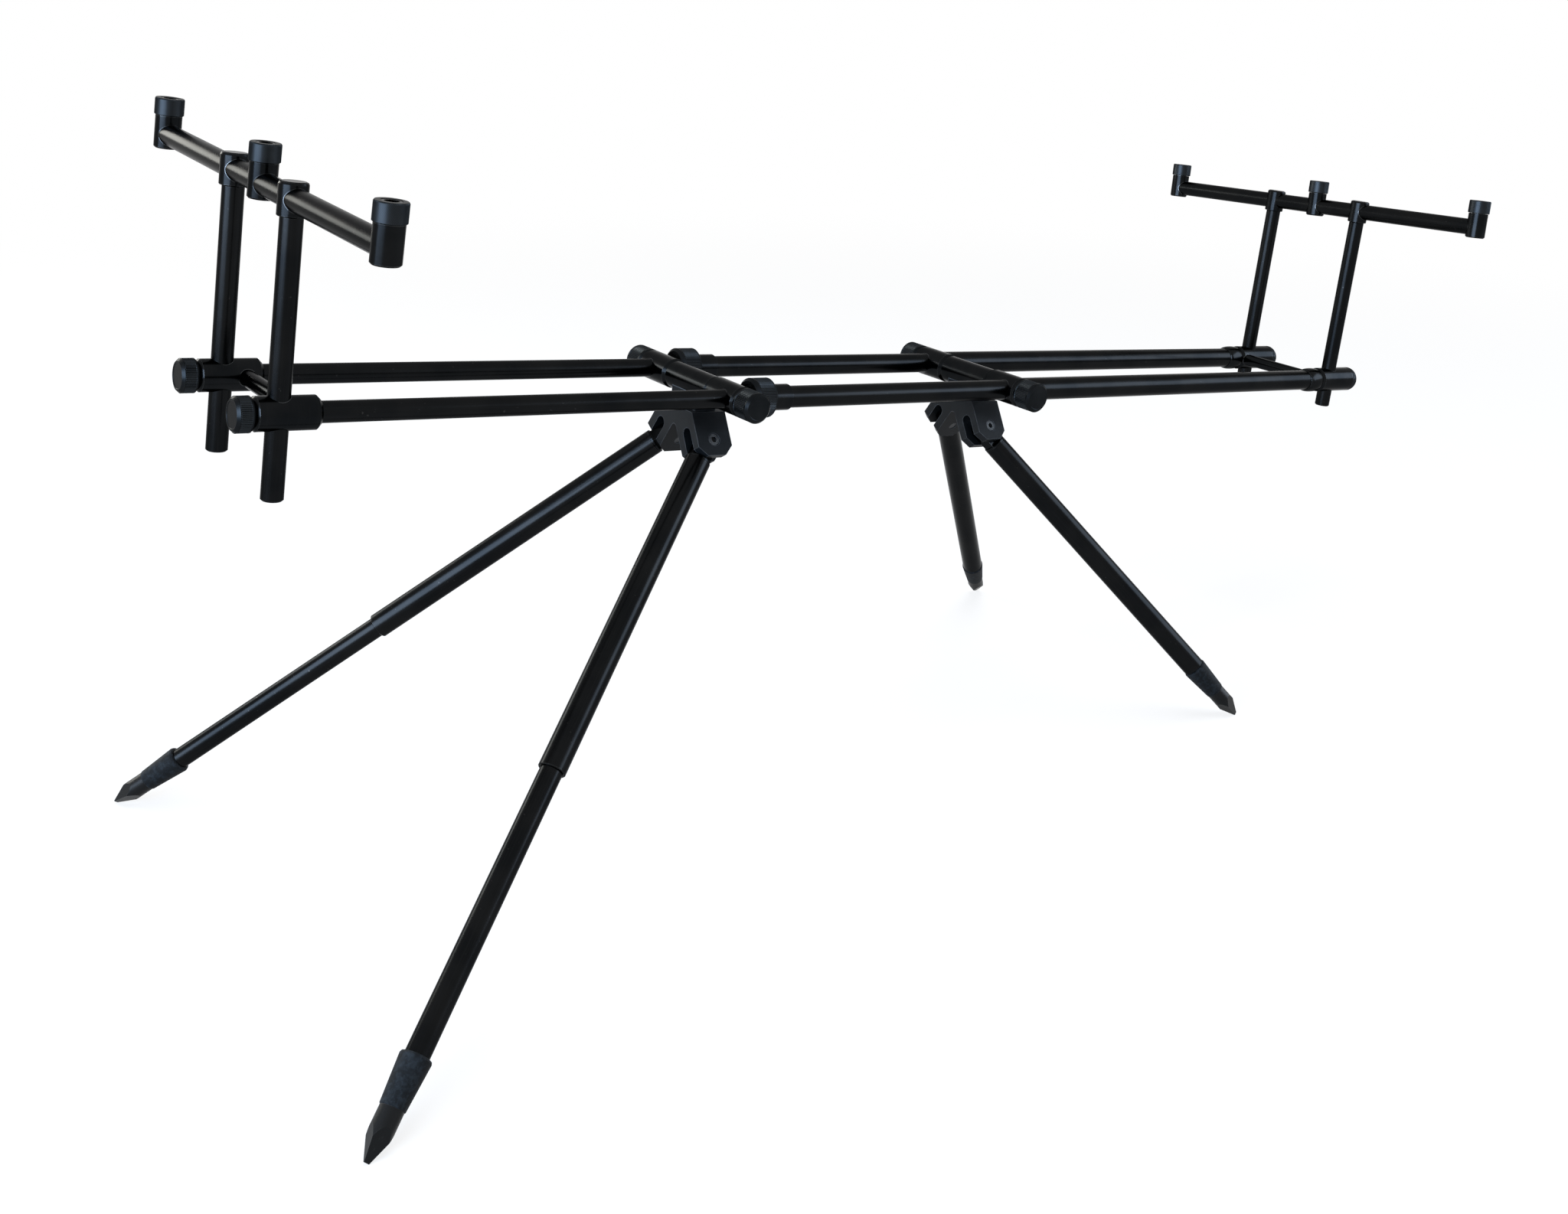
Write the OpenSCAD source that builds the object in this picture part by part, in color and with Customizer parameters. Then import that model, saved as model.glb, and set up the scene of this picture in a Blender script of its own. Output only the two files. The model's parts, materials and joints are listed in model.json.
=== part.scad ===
// Rod pod: twin telescopic rails on four folding, extending legs, with a pair of posts
// and a bar of rod rests at each end. Lengths are millimetres.
// The rail frame has X along the rails from the left posts, Y to the back and Z up
// from the rail axes. The whole pod is then pitched so that its four feet stand on Z = 0.

/* [Rails] */
// Distance between the front and back rail axes
rail_gap = 115; // [108:1:140]
// Diameter of the left rail, the thinnest of the three stages
left_rail_d = 16; // [14:0.5:17]
// Wall of every rail tube
rail_wall = 1.44; // [1.2:0.04:2]
// Length of a left rail tube
left_rail_len = 590; // [520:5:640]
// Length of a middle rail tube
middle_rail_len = 500; // [420:5:520]
// From the left post axis to the face of the lock ring
left_span = 398; // [360:1:430]
// Middle rail showing between its collet and the right cross bar
middle_span = 256; // [240:1:300]
// From the right cross bar axis to the right post axis
right_span = 513; // [480:1:560]

/* [End blocks] */
// Diameter of the left end blocks
left_block_d = 25; // [23:0.5:28]
// Left block's reach from the post axis towards the rail
left_block_inner = 28.5; // [27:0.5:34]
// Left block's reach from the post axis towards its knob
left_block_outer = 18.2; // [17:0.1:24]
// Diameter of the right end blocks
right_block_d = 27; // [26:0.5:30]
// Right block's reach from the post axis towards its knob
right_block_outer = 33; // [28:0.5:38]
// Length of the rounded collar where the right rail enters its block
right_collar_len = 22; // [18:1:28]
// From the right post axis to the collar
right_collar_start = 23; // [23:0.5:26]
// Diameter of the braces between the blocks
brace_d = 13; // [11:0.5:14]
// From a post axis to the brace beside it
brace_offset = 15.5; // [15.1:0.1:16.4]
// Wall left between a brace's seat and the left rail
brace_skin = 0.5; // [0.3:0.1:1.5]

/* [Knobs] */
// Diameter of the left lock knobs
left_knob_d = 26; // [24:0.5:28]
// Length of the left lock knobs
left_knob_len = 13.3; // [11:0.1:18]
// Length of the right lock knobs
right_knob_len = 12; // [11:0.1:16]
// Rounding of the right knobs' outer edge
right_knob_round = 8; // [4:0.5:9]
// Length of the cross bars' knobs
bar_knob_len = 21.7; // [16:0.1:26]
// Chamfer round a knob's face
knob_chamfer = 2; // [1:0.1:3]
// Depth of the groove between a knob and its body
knob_groove = 1.8; // [1:0.1:2.4]
// Diameter of a knob's clamping screw
screw_d = 8; // [6:0.5:9]

/* [Lock rings] */
// Diameter of the telescope lock rings
ring_d = 34; // [32:0.5:38]
// Length of the lock rings
ring_len = 20.5; // [18:0.5:26]
// Diameter of the collet's step beside the ring
collet_d = 22.6; // [22:0.1:25]
// Length of the collet's step
collet_step = 21.5; // [16:0.5:26]
// Length of the collet's thread inside the ring
collet_thread = 14; // [10:0.5:15]

/* [Cross bars] */
// Diameter of the left bar's tees
left_tee_d = 26; // [25:0.5:29]
// Diameter of the right bar's tees
right_tee_d = 28; // [27:0.5:31]
// Half length of the sleeve between the tees
sleeve_half = 31; // [28:0.5:34]
// Sleeve's step below the tees
sleeve_step = 1; // [0.5:0.1:2]
// From the middle of a bar to its tees' outer ends
tee_reach = 72; // [71:0.5:80]
// Chamfer at the tees' inner ends
tee_chamfer = 3; // [1:0.5:4]
// Diameter of the sleeve's spigots
spigot_d = 16; // [12:0.5:18]
// Length of the sleeve's spigots
spigot_len = 13; // [8:0.5:14]
// From the lock ring's face to the left tee
tee_gap = 1.2; // [0.8:0.1:5]

/* [Leg brackets] */
// Bracket length along the rails
bracket_len = 34; // [30:0.5:40]
// From the middle plane to a leg's pivot
pivot_y = 26; // [25:0.5:30]
// From the rail axes down to a leg's pivot
pivot_drop = 48; // [46:0.5:56]
// Thickness of each pivot plate
plate_t = 8; // [7:0.5:9]
// Thickness of a leg's tongue
tongue_t = 10.4; // [8:0.2:11]
// From the pivot to the plates' lower edge
plate_reach = 14; // [13:0.5:14.5]
// Chamfer on the plates' lower corners
plate_chamfer = 8; // [7:0.5:9]
// From the rail axes down to the bracket's flat top
bracket_top = 20; // [18:0.5:22]
// Half length of the neck under the sleeve
neck_half = 19; // [15:0.5:22]
// Radius of the arch between the inner plates
arch_r = 4; // [3:0.5:5]
// Diameter of a pivot bolt
bolt_d = 8; // [6:0.5:9]
// Diameter of a pivot bolt's head
bolt_head_d = 11; // [10:0.5:12]
// Width across flats of a bolt's hexagon socket
bolt_socket = 5; // [4:0.5:6]

/* [Legs] */
// Lean of the legs along the rails
leg_lean = 38.9; // [30:0.1:45]
// Splay of the legs to the front and back
leg_splay = 32.4; // [28:0.1:36]
// Diameter of the inner leg tube
inner_leg_d = 18; // [16:0.5:19]
// Wall of the leg tubes
leg_wall = 1.94; // [1.4:0.02:2.4]
// Length of the inner leg tube
inner_leg_len = 290; // [270:1:330]
// Room above a left inner leg when it is pushed in
left_leg_room = 7.3; // [1:0.1:30]
// Room above a right inner leg when it is pushed in
right_leg_room = 30.3; // [1:0.1:50]
// How far the left legs are drawn out
left_extension = 214; // [0:1:220]
// How far the right legs are drawn out
right_extension = 0; // [0:1:220]
// Width of a leg's tongue
tongue_w = 18; // [16:0.5:20]
// Length of the plug that holds the tongue in its tube
plug_len = 18; // [12:0.5:22]

/* [Feet] */
// Diameter of a foot's boot at its rim
boot_d = 23.4; // [22.5:0.1:27]
// Diameter of a foot's boot at its seam
boot_low_d = 18.8; // [18.5:0.1:22]
// Length of the boot
boot_len = 35; // [28:0.5:40]
// Depth of the tube's socket in the boot
boot_socket = 20; // [14:0.5:24]
// Diameter of the spike
spike_d = 17.6; // [15:0.1:18.4]
// Length of the spike's round part
spike_round = 12; // [6:0.5:16]
// Length of the spike's four flats
spike_flat = 23; // [16:0.5:30]
// Width of the spike's chisel tip
tip_w = 4; // [2:0.1:6]
// Thickness of the spike's chisel tip
tip_t = 1; // [0.5:0.1:4]

/* [Posts and rod rests] */
// Diameter of the posts
post_d = 16; // [14:0.5:16.5]
// Height of the left rod-rest bar above the rails
left_bar_h = 151; // [120:1:170]
// Height of the right rod-rest bar above the rails
right_bar_h = 193; // [150:1:210]
// Slope of the left rod-rest bar, its back end up
left_tilt = 2.3; // [-2.5:0.1:2.5]
// Slope of the right rod-rest bar, its back end up
right_tilt = -2.3; // [-2.5:0.1:2.5]
// Left posts' reach below the rails
left_post_drop = 60; // [30:1:80]
// Right posts' reach below the rails
right_post_drop = 33; // [24:1:60]
// Diameter of the post heads
head_d = 20.5; // [20:0.1:23]
// Height of the post heads
head_h = 24; // [22:0.5:28]
// Diameter of the rod-rest bars
bar_d = 17; // [16:0.5:17.5]
// Wall of the rod-rest bars
bar_wall = 1.6; // [1.2:0.1:2.2]
// From the middle of the left bar to its outer rests
left_rest_y = 212; // [180:1:230]
// From the middle of the right bar to its outer rests
right_rest_y = 204; // [170:1:220]
// Diameter of a rod rest's body
rest_d = 20; // [19.5:0.1:23]
// Rest body's reach below the bar axis
rest_drop = 11; // [10.5:0.1:13]
// Rest body's reach above the bar axis
rest_rise = 15; // [13:0.5:18]
// Diameter of the thumb rings
thumb_d = 22; // [21:0.5:26]
// Height of the thumb rings
thumb_h = 13.7; // [11:0.1:18]
// Diameter of the neck that a thumb ring turns on
thumb_neck_d = 13; // [12.5:0.5:15]
// Diameter of the threaded hole in a rest
thread_d = 9.525; // [8:0.005:10]
// Depth of the threaded hole in a rest
thread_depth = 18; // [12:0.5:19]

/* [Fits] */
// Radial clearance of pieces that turn or slide
run_fit = 0.06; // [0.02:0.01:0.1]
// Radial clearance of pieces that are fixed together
seat_fit = 0.04; // [0.02:0.01:0.08]
// Gap between faces that turn past each other
face_gap = 0.3; // [0.2:0.05:0.5]

/* [Hidden] */
$fn = 64;
front = -1;
back = 1;
left = -1;
right = 1;
cut = 1;
black = [0.10, 0.10, 0.11];
dull_black = [0.16, 0.16, 0.17];
rubber_black = [0.09, 0.10, 0.13];
steel = [0.45, 0.45, 0.47];

// Small edges, lips and walls shared by several pieces
edge = 0.6;
small_chamfer = 1;
sleeve_chamfer = 1.5;
face_chamfer = 2.5;
collar_round = 2.2;
collar_groove = 2;
boot_round = 2;
head_round = 2;
rest_chamfer = 1.2;
post_skin = 2;
screw_skin = 1;
rail_seat = 3;
collet_thread_h = 0.8;
tube_gap = 3;
flange_t = 2;
bolt_sunk = 0.3;
bolt_short = 0.5;
bolt_head_t = 3.7;
bolt_socket_t = 2.7;
head_spigot_len = 15;
head_spigot_d = 8;

// Rail diameters follow from the thinnest tube, the wall and the sliding fit
middle_rail_d = left_rail_d + 2 * (run_fit + rail_wall);
right_rail_d = middle_rail_d + 2 * (run_fit + rail_wall);
rail_y = rail_gap / 2;

// Places along the rails
ring_x = left_span;
collet_x = ring_x + ring_len + face_gap;
collet_end = collet_x + collet_step;
middle_rail_x = collet_x - rail_seat;
left_tee_x = ring_x - tee_gap - left_tee_d / 2;
right_tee_x = collet_end + middle_span + right_tee_d / 2;
right_post_x = right_tee_x + right_span;
left_rail_x = post_d / 2 + post_skin;
right_rail_len = right_span - right_collar_start;
brace_end = rail_y - left_rail_d / 2 - brace_skin;
rail_stop = screw_d / 2 + screw_skin;

// Bracket and leg sizes
slot_w = tongue_t + 2 * face_gap;
clevis_half = slot_w / 2 + plate_t;
slot_top = tongue_w / 2 + edge;
tube_top = bracket_len / 2 + tube_gap;
leg_tube_d = inner_leg_d + 2 * (run_fit + leg_wall);
foot_len = boot_len + spike_round + spike_flat;
head_sink = bolt_sunk + bolt_head_t;

// Lower ends of the outer tubes, measured down the legs
pushed_in = tube_top + plug_len + inner_leg_len - boot_socket - face_gap;
left_tube_end = pushed_in + left_leg_room;
right_tube_end = pushed_in + right_leg_room;

// Tops of the boots, measured down the legs, and the legs' tips in the rail frame
left_boot_top = left_tube_end + face_gap + left_extension;
right_boot_top = right_tube_end + face_gap + right_extension;
function tip_x(tee_x, end, boot_top) = tee_x + end * (boot_top + foot_len) * sin(leg_lean);
function tip_z(boot_top) = -pivot_drop - (boot_top + foot_len) * cos(leg_lean) * cos(leg_splay);
left_tip_x = tip_x(left_tee_x, left, left_boot_top);
right_tip_x = tip_x(right_tee_x, right, right_boot_top);
left_tip_z = tip_z(left_boot_top);
right_tip_z = tip_z(right_boot_top);

// Pitch that sets all four chisel tips on the ground, from their middles and lowest corners
tip_pitch = atan2(right_tip_z - left_tip_z, right_tip_x - left_tip_x);
function tip_sink(end) = tip_t / 2 * sin(leg_splay) * cos(tip_pitch) + tip_w / 2
  * (sin(leg_lean) * cos(leg_splay) * cos(tip_pitch) - end * cos(leg_lean) * sin(tip_pitch));
pitch = tip_pitch + atan2(tip_sink(left) - tip_sink(right), right_tip_x - left_tip_x);
ground = right_tip_x * sin(pitch) - right_tip_z * cos(pitch) + tip_sink(right);

// Middle of the pod between its left tips and the round edge of its right knobs
tip_side = tip_t / 2 * sin(leg_splay) * sin(pitch) + tip_w / 2
  * (cos(leg_lean) * cos(pitch) - sin(leg_lean) * cos(leg_splay) * sin(pitch));
left_reach = left_tip_x * cos(pitch) + left_tip_z * sin(pitch) - tip_side;
right_reach = right_knob_round + (right_block_d / 2 - right_knob_round) * sin(pitch)
  + (right_post_x + right_block_outer + right_knob_len - right_knob_round) * cos(pitch);
middle_x = (left_reach + right_reach) / 2;

// Places a piece of the rail frame on its feet
module on_stand() {
  translate([-middle_x, 0, ground]) rotate([0, pitch, 0]) children();
}

// Turned shapes: an outline of [radius, distance] points spun round X, Y or Z
module turned_x(outline) {
  rotate([0, 90, 0]) rotate_extrude() polygon(outline);
}
module turned_y(outline) {
  rotate([-90, 0, 0]) rotate_extrude() polygon(outline);
}
module turned_z(outline) {
  rotate_extrude() polygon(outline);
}
module rod_x(d, from, to) {
  translate([from, 0, 0]) rotate([0, 90, 0]) cylinder(d = d, h = to - from);
}
module rod_y(d, from, to) {
  translate([0, from, 0]) rotate([-90, 0, 0]) cylinder(d = d, h = to - from);
}
module tube_x(d, wall, from, to) {
  difference() {
    rod_x(d, from, to);
    rod_x(d - 2 * wall, from - cut, to + cut);
  }
}

// Outline of a cylinder with a chamfer at each end
function barrel(r, from, to, from_chamfer, to_chamfer) = [
  [0, from], [r - from_chamfer, from], [r, from + from_chamfer],
  [r, to - to_chamfer], [r - to_chamfer, to], [0, to]
];

// Outline of a knob with its clamping screw, from the screw's tip out to its face
function knob_outline(r, from, to, tip) = [
  [0, tip], [screw_d / 2, tip], [screw_d / 2, from], [r - knob_groove, from],
  [r, from + knob_groove], [r, to - knob_chamfer], [r - knob_chamfer, to], [0, to]
];

// Outline of a knob whose outer edge is a quarter round
function round_knob_outline(r, from, to, tip, edge) = concat(
  [[0, tip], [screw_d / 2, tip], [screw_d / 2, from], [r, from]],
  [for (a = [0 : 10 : 90]) [r - edge + edge * cos(a), to - edge + edge * sin(a)]],
  [[0, to]]
);

module left_rail(side) {
  color(black) on_stand() translate([0, side * rail_y, 0])
    tube_x(left_rail_d, rail_wall, left_rail_x, left_rail_x + left_rail_len);
}

module middle_rails() {
  color(black) on_stand() for (side = [front, back])
    translate([0, side * rail_y, 0])
      tube_x(middle_rail_d, rail_wall, middle_rail_x, middle_rail_x + middle_rail_len);
}

module right_rail(side) {
  color(black) on_stand() translate([right_tee_x, side * rail_y, 0])
    tube_x(right_rail_d, rail_wall, rail_stop, right_rail_len);
}

// Cuts for the post, the brace seat and the knob's screw in an end block
module block_cuts(side, brace_x, screw_from, screw_to) {
  cylinder(d = post_d + 2 * run_fit, h = 2 * rail_y, center = true);
  translate([brace_x, side * (brace_end + seat_fit - rail_y), 0])
    rotate([side * 90, 0, 0]) cylinder(d = brace_d + 2 * seat_fit, h = rail_y);
  rod_x(screw_d + 2 * run_fit, screw_from, screw_to);
}

module left_block(side) {
  color(black) on_stand() translate([0, side * rail_y, 0]) difference() {
    turned_x(barrel(left_block_d / 2, -left_block_outer, left_block_inner, knob_groove, face_chamfer));
    rod_x(left_rail_d + 2 * seat_fit, left_rail_x - seat_fit, left_block_inner + cut);
    block_cuts(side, brace_offset, -left_block_outer - cut, 0);
  }
}

module right_block(side) {
  r = right_block_d / 2;
  collar_mid = -right_collar_start - right_collar_len / 2;
  collar = [for (a = [0 : 15 : 180])
    [r - collar_round + collar_round * sin(a), collar_mid - right_collar_len / 2 * cos(a)]];
  body_start = -right_collar_start + collar_groove;
  body = [[r - small_chamfer, body_start], [r, body_start + small_chamfer]];
  color(black) on_stand() translate([right_post_x, side * rail_y, 0]) difference() {
    turned_x(concat([[0, collar[0][1]]], collar, body,
      [[r, right_block_outer], [0, right_block_outer]]));
    rod_x(right_rail_d + 2 * seat_fit, collar[0][1] - cut, -right_collar_start + seat_fit);
    block_cuts(side, -brace_offset, 0, right_block_outer + cut);
  }
}

module brace(x) {
  color(black) on_stand() translate([x, 0, 0])
    turned_y(barrel(brace_d / 2, -brace_end, brace_end, edge, edge));
}

module left_knob(side) {
  seat = left_block_outer + face_gap;
  color(black) on_stand() translate([0, side * rail_y, 0]) mirror([1, 0, 0])
    turned_x(knob_outline(left_knob_d / 2, seat, seat + left_knob_len, post_d / 2 + face_gap));
}

module right_knob(side) {
  seat = right_block_outer + face_gap;
  color(black) on_stand() translate([right_post_x, side * rail_y, 0])
    turned_x(round_knob_outline(right_block_d / 2, seat, right_block_outer + right_knob_len,
      post_d / 2 + face_gap, right_knob_round));
}

// Collets fixed on the middle rails, which the lock rings squeeze onto the left rails
module rail_collets() {
  thread_r = middle_rail_d / 2 + collet_thread_h;
  color(black) on_stand() for (side = [front, back]) translate([0, side * rail_y, 0])
    difference() {
      turned_x([
        [0, collet_x - collet_thread], [thread_r, collet_x - collet_thread],
        [thread_r, collet_x], [collet_d / 2, collet_x], [collet_d / 2, collet_end - sleeve_chamfer],
        [collet_d / 2 - sleeve_chamfer, collet_end], [0, collet_end]
      ]);
      rod_x(left_rail_d + 2 * run_fit, collet_x - collet_thread - cut, collet_end);
      rod_x(middle_rail_d + 2 * seat_fit, middle_rail_x - seat_fit, collet_end + cut);
    }
}

module lock_ring(side) {
  thread_r = middle_rail_d / 2 + collet_thread_h + run_fit;
  color(black) on_stand() translate([0, side * rail_y, 0]) difference() {
    turned_x(barrel(ring_d / 2, ring_x, ring_x + ring_len, face_chamfer, small_chamfer));
    rod_x(left_rail_d + 4 * face_gap, ring_x - cut, ring_x + ring_len + cut);
    rod_x(2 * thread_r, collet_x - collet_thread - face_gap, ring_x + ring_len + cut);
  }
}

// Tees at both ends of a cross bar, bored for the two rails and for the knobs' screws
module tees(x, tee_d, left_bore, right_bore) {
  color(black) on_stand() translate([x, 0, 0]) for (side = [front, back])
    difference() {
      mirror([0, side == front ? 1 : 0, 0]) difference() {
        turned_y(barrel(tee_d / 2, sleeve_half + seat_fit, tee_reach, tee_chamfer, knob_groove));
        rod_y(spigot_d + 2 * seat_fit, sleeve_half, sleeve_half + spigot_len + seat_fit);
        rod_y(screw_d + 2 * run_fit, rail_y, tee_reach + cut);
      }
      translate([0, side * rail_y, 0]) {
        rod_x(left_bore, -tee_d, tee_d);
        rod_x(right_bore, rail_stop - seat_fit, tee_d);
      }
    }
}

module left_tees() {
  bore = left_rail_d + 2 * run_fit;
  tees(left_tee_x, left_tee_d, bore, bore);
}

module right_tees() {
  tees(right_tee_x, right_tee_d, middle_rail_d + 2 * run_fit, right_rail_d + 2 * seat_fit);
}

// Sleeve between the tees, with a spigot at each end
module sleeve(x, tee_d) {
  r = tee_d / 2 - sleeve_step;
  end = sleeve_half + spigot_len;
  color(black) on_stand() translate([x, 0, 0]) turned_y([
    [0, -end], [spigot_d / 2, -end], [spigot_d / 2, -sleeve_half],
    [r - sleeve_chamfer, -sleeve_half], [r, -sleeve_half + sleeve_chamfer],
    [r, sleeve_half - sleeve_chamfer], [r - sleeve_chamfer, sleeve_half],
    [spigot_d / 2, sleeve_half], [spigot_d / 2, end], [0, end]
  ]);
}

module bar_knob(x, tee_d, rail_d, side) {
  seat = tee_reach + face_gap;
  color(black) on_stand() translate([x, 0, 0]) mirror([0, side == front ? 1 : 0, 0])
    turned_y(knob_outline(tee_d / 2, seat, seat + bar_knob_len, rail_y + rail_d / 2 + face_gap));
}

// Places a leg's pivot at the origin, with Y along the pivot and Z up the bracket's plates
module at_pivot(x, side) {
  on_stand() translate([x, side * pivot_y, -pivot_drop]) rotate([side * leg_splay, 0, 0])
    children();
}

// Point of a bracket's section, given across and down from the pivot along the plates
function plate_point(side, across, down) = [
  side * (pivot_y + across * cos(leg_splay) + down * sin(leg_splay)),
  -pivot_drop + across * sin(leg_splay) - down * cos(leg_splay)
];

// Section of a bracket across the rails: two slanted pairs of plates under a flat top
module bracket_section() {
  climb = (pivot_drop - bracket_top - clevis_half * sin(leg_splay)) / cos(leg_splay);
  inner_face = plate_point(back, -clevis_half, 0);
  apex_z = inner_face[1] + inner_face[0] / tan(leg_splay);
  arch_z = apex_z - arch_r / sin(leg_splay);
  difference() {
    polygon([
      plate_point(front, clevis_half, -climb), plate_point(back, clevis_half, -climb),
      plate_point(back, clevis_half, plate_reach), plate_point(back, -clevis_half, plate_reach),
      plate_point(front, -clevis_half, plate_reach), plate_point(front, clevis_half, plate_reach)
    ]);
    translate([0, arch_z]) circle(r = arch_r);
    polygon([
      [arch_r * cos(leg_splay), arch_z + arch_r * sin(leg_splay)],
      plate_point(back, -clevis_half, plate_reach + cut),
      plate_point(front, -clevis_half, plate_reach + cut),
      [-arch_r * cos(leg_splay), arch_z + arch_r * sin(leg_splay)]
    ]);
    for (side = [front, back])
      translate([side * pivot_y, -pivot_drop]) rotate(side * leg_splay) {
        translate([0, slot_top]) circle(d = slot_w);
        translate([-slot_w / 2, -plate_reach - cut]) square([slot_w, plate_reach + cut + slot_top]);
      }
  }
}

module leg_bracket(x, tee_d) {
  sleeve_r = tee_d / 2 - sleeve_step;
  neck_r = sleeve_r - sleeve_chamfer;
  chamfer_side = sqrt(2) * plate_chamfer;
  color(dull_black) difference() {
    on_stand() translate([x, 0, 0]) {
      rotate([90, 0, 90]) translate([0, 0, -bracket_len / 2]) linear_extrude(bracket_len)
        bracket_section();
      difference() {
        translate([-neck_r, -neck_half, -bracket_top])
          cube([2 * neck_r, 2 * neck_half, bracket_top]);
        rod_y(2 * (sleeve_r + seat_fit), -neck_half - cut, neck_half + cut);
      }
    }
    for (side = [front, back]) at_pivot(x, side) {
      rod_y(bolt_d + 2 * seat_fit, -clevis_half - cut, clevis_half + cut);
      mirror([0, side == front ? 1 : 0, 0])
        rod_y(bolt_head_d + 2 * seat_fit, clevis_half - head_sink - seat_fit, clevis_half + cut);
      for (end = [left, right])
        translate([end * bracket_len / 2, 0, -plate_reach]) rotate([0, 45, 0])
          cube([chamfer_side, 2 * (clevis_half + cut), chamfer_side], center = true);
    }
  }
}

// Pivot bolts with hexagon sockets, heads sunk in the outer plates
module pivot_bolts(x) {
  top = clevis_half - bolt_sunk;
  low = -clevis_half + bolt_short;
  color(steel) for (side = [front, back]) at_pivot(x, side)
    mirror([0, side == front ? 1 : 0, 0]) difference() {
      turned_y([
        [0, low], [bolt_d / 2, low], [bolt_d / 2, top - bolt_head_t],
        [bolt_head_d / 2, top - bolt_head_t], [bolt_head_d / 2, top - edge],
        [bolt_head_d / 2 - edge, top], [0, top]
      ]);
      translate([0, top - bolt_socket_t, 0]) rotate([-90, 0, 0])
        cylinder(d = bolt_socket / cos(30), h = bolt_socket_t + cut, $fn = 6);
    }
}

// Places a leg along -Z from its pivot
module on_leg(x, end, side) {
  at_pivot(x, side) rotate([0, -end * leg_lean, 0]) children();
}

// Tongue on the pivot bolt, with the plug that carries the outer tube
module knuckle(x, end, side) {
  r = leg_tube_d / 2;
  plug_r = r - leg_wall - seat_fit;
  flange_top = -tube_top + flange_t;
  color(black) on_leg(x, end, side) difference() {
    union() {
      rod_y(tongue_w, -tongue_t / 2, tongue_t / 2);
      translate([-tongue_w / 2, -tongue_t / 2, flange_top])
        cube([tongue_w, tongue_t, -flange_top]);
      turned_z([
        [0, -tube_top - plug_len], [plug_r, -tube_top - plug_len], [plug_r, -tube_top],
        [r, -tube_top], [r, flange_top - edge], [r - edge, flange_top], [0, flange_top]
      ]);
    }
    rod_y(bolt_d + 2 * run_fit, -tongue_t, tongue_t);
  }
}

module leg_tube(x, end, side, tube_end) {
  color(black) on_leg(x, end, side) translate([0, 0, -tube_end]) difference() {
    turned_z(barrel(leg_tube_d / 2, 0, tube_end - tube_top, edge, edge));
    translate([0, 0, -cut]) cylinder(d = leg_tube_d - 2 * leg_wall, h = tube_end);
  }
}

module inner_leg(x, end, side, boot_top) {
  color(black) on_leg(x, end, side) translate([0, 0, -boot_top - boot_socket]) difference() {
    cylinder(d = inner_leg_d, h = inner_leg_len);
    translate([0, 0, -cut]) cylinder(d = inner_leg_d - 2 * leg_wall, h = inner_leg_len + 2 * cut);
  }
}

// Slope of one of the spike's four flats, of which two run to the chisel's edge
function flat_slope(turn) = atan2(spike_d / 2 - (turn % 180 == 0 ? tip_w : tip_t) / 2, spike_flat);

// Foot: a tapered boot over the tube's end, then a spike ground to a chisel by four flats
module foot(x, end, side, boot_top) {
  seam = boot_len - edge;
  flats = boot_len + spike_round;
  color(rubber_black) on_leg(x, end, side) translate([0, 0, -boot_top]) difference() {
    turned_z([
      [0, -foot_len], [spike_d / 2, -foot_len], [spike_d / 2, -boot_len],
      [boot_low_d / 2, -seam], [boot_d / 2, -boot_round], [boot_d / 2 - edge, -edge],
      [boot_d / 2 - boot_round, 0], [0, 0]
    ]);
    translate([0, 0, -boot_socket - seat_fit])
      cylinder(d = inner_leg_d + 2 * seat_fit, h = boot_socket + cut);
    for (turn = [0 : 90 : 270]) rotate(turn) translate([spike_d / 2, 0, -flats])
      rotate([0, flat_slope(turn), 0]) translate([0, -spike_d, -2 * spike_flat])
        cube([spike_d, 2 * spike_d, 4 * spike_flat]);
  }
}

// Height that a sloping bar adds over a rail
function post_rise(side, tilt) = side * rail_y * tan(tilt);

// Places a piece on a rod-rest bar, with Y along the bar
module on_bar(x, bar_h, tilt) {
  on_stand() translate([x, 0, bar_h]) rotate([tilt, 0, 0]) children();
}

module posts(x, bar_h, tilt, drop) {
  top = bar_h - head_h / 2;
  hole = head_spigot_len + seat_fit;
  color(black) on_stand() for (side = [front, back])
    translate([x, side * rail_y, post_rise(side, tilt)]) difference() {
      turned_z(barrel(post_d / 2, -drop, top, small_chamfer, edge));
      translate([0, 0, top - hole]) cylinder(d = head_spigot_d + 2 * seat_fit, h = hole + cut);
    }
}

// Heads on the posts, bored across for the rod-rest bar
module heads(x, bar_h, tilt) {
  r = head_d / 2;
  top = head_h / 2;
  spigot_r = head_spigot_d / 2;
  color(black) on_stand() for (side = [front, back])
    translate([x, side * rail_y, bar_h + post_rise(side, tilt)]) difference() {
      turned_z([
        [0, -top - head_spigot_len], [spigot_r, -top - head_spigot_len], [spigot_r, -top],
        [r - edge, -top], [r, -top + edge], [r, top - head_round],
        [r - edge, top - edge], [r - head_round, top], [0, top]
      ]);
      rotate([tilt, 0, 0]) rod_y(bar_d + 2 * seat_fit, -head_d, head_d);
    }
}

module rest_bar(x, bar_h, tilt, rest_y) {
  color(black) on_bar(x, bar_h, tilt) difference() {
    rod_y(bar_d, -rest_y, rest_y);
    rod_y(bar_d - 2 * bar_wall, -rest_y - cut, rest_y + cut);
  }
}

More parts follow.
